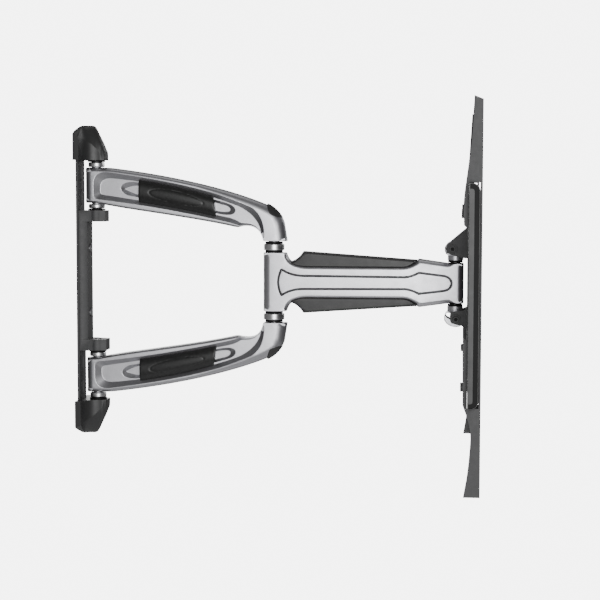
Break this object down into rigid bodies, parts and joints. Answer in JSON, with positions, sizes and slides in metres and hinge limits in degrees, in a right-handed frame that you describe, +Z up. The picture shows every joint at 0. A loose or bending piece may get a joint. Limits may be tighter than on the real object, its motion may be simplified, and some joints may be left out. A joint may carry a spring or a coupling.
{
  "type": "full motion tv wall mount",
  "caption": "Full motion television wall mount: a wall rail, twin rear arms, a single front arm, a swivel head and a tilting plate with sliding vertical brackets.",
  "frame": {"origin": "on the wall face of the wall rail, halfway between the two rear arms", "axes": "+X away from the wall towards the television, +Y to the right of somebody who watches the television, +Z up"},
  "size_m": [0.495, 0.464, 0.433],
  "materials": {
    "black_paint": "fine textured dark grey powder coat",
    "silver_paint": "metallic silver paint with fine flake, satin",
    "black_plastic": "moulded, fine satin texture",
    "soft_pad": "moulded soft-touch, satin",
    "polished_metal": "polished",
    "nylon": "smooth black bearing plastic",
    "steel": "zinc plated, lightly worn"
  },
  "bodies": {
    "wall_assembly": {"wall_rail": "black_paint", "hinge_bracket": "black_paint", "hinge_screw_upper": "steel", "hinge_screw_lower": "steel", "upper_pivot_block": "steel", "upper_end_cap": "black_plastic", "upper_wall_pin": "steel", "upper_wall_washer_outer": "nylon", "upper_wall_washer_inner": "nylon", "lower_pivot_block": "steel", "lower_end_cap": "black_plastic", "lower_wall_pin": "steel", "lower_wall_washer_outer": "nylon", "lower_wall_washer_inner": "nylon"},
    "rear_arms": {"elbow_pin": "steel", "upper_rear_arm": "silver_paint", "upper_bush_outer": "polished_metal", "upper_bush_inner": "polished_metal", "upper_elbow_plug": "black_plastic", "upper_left_arm_pad": "soft_pad", "upper_right_arm_pad": "soft_pad", "upper_elbow_ring": "polished_metal", "upper_elbow_washer_outer": "nylon", "lower_rear_arm": "silver_paint", "lower_bush_outer": "polished_metal", "lower_bush_inner": "polished_metal", "lower_elbow_plug": "black_plastic", "lower_left_arm_pad": "soft_pad", "lower_right_arm_pad": "soft_pad", "lower_elbow_ring": "polished_metal", "lower_elbow_washer_outer": "nylon"},
    "front_arm_assembly": {"front_arm": "silver_paint", "upper_elbow_washer_inner": "nylon", "upper_hub_bush": "nylon", "upper_cable_cover": "black_plastic", "upper_barrel_bush": "nylon", "lower_elbow_washer_inner": "nylon", "lower_hub_bush": "nylon", "lower_cable_cover": "black_plastic", "lower_barrel_bush": "nylon"},
    "swivel_head": {"head_post": "steel", "upper_knuckle": "silver_paint", "lower_knuckle": "silver_paint", "upper_head_washer": "nylon", "lower_head_washer": "nylon"},
    "tilt_plate": {"tilt_frame": "black_paint", "centre_plate": "black_paint", "left_plate_cap": "black_plastic", "right_plate_cap": "black_plastic", "upper_tilt_bolt": "black_paint", "upper_tilt_nut": "black_paint", "lower_tilt_bolt": "black_paint", "lower_tilt_nut": "black_paint"},
    "left_bracket": {"left_tv_bracket": "black_paint", "left_upper_lock_screw": "black_paint", "left_lower_lock_screw": "black_paint"},
    "right_bracket": {"right_tv_bracket": "black_paint", "right_upper_lock_screw": "black_paint", "right_lower_lock_screw": "black_paint"}
  },
  "joints": [
    {"name": "wall_swivel", "type": "hinge", "parent": "wall_assembly", "child": "rear_arms", "pos_m": [0.0225, 0, 0], "axis": [0, 0, 1], "range_deg": [-90, 90]},
    {"name": "elbow_fold", "type": "hinge", "parent": "rear_arms", "child": "front_arm_assembly", "pos_m": [0.244, 0, 0], "axis": [0, 0, -1], "range_deg": [-145, 145]},
    {"name": "head_swivel", "type": "hinge", "parent": "front_arm_assembly", "child": "swivel_head", "pos_m": [0.4655, 0, 0], "axis": [0, 0, 1], "range_deg": [-60, 60]},
    {"name": "screen_tilt", "type": "hinge", "parent": "swivel_head", "child": "tilt_plate", "pos_m": [0.4795, 0, 0], "axis": [0, 1, 0], "range_deg": [-5, 12]},
    {"name": "left_bracket_slide", "type": "slide", "parent": "tilt_plate", "child": "left_bracket", "axis": [0, 1, 0], "range_m": [0, 0.1]},
    {"name": "right_bracket_slide", "type": "slide", "parent": "tilt_plate", "child": "right_bracket", "axis": [0, -1, 0], "range_m": [0, 0.1]}
  ]
}
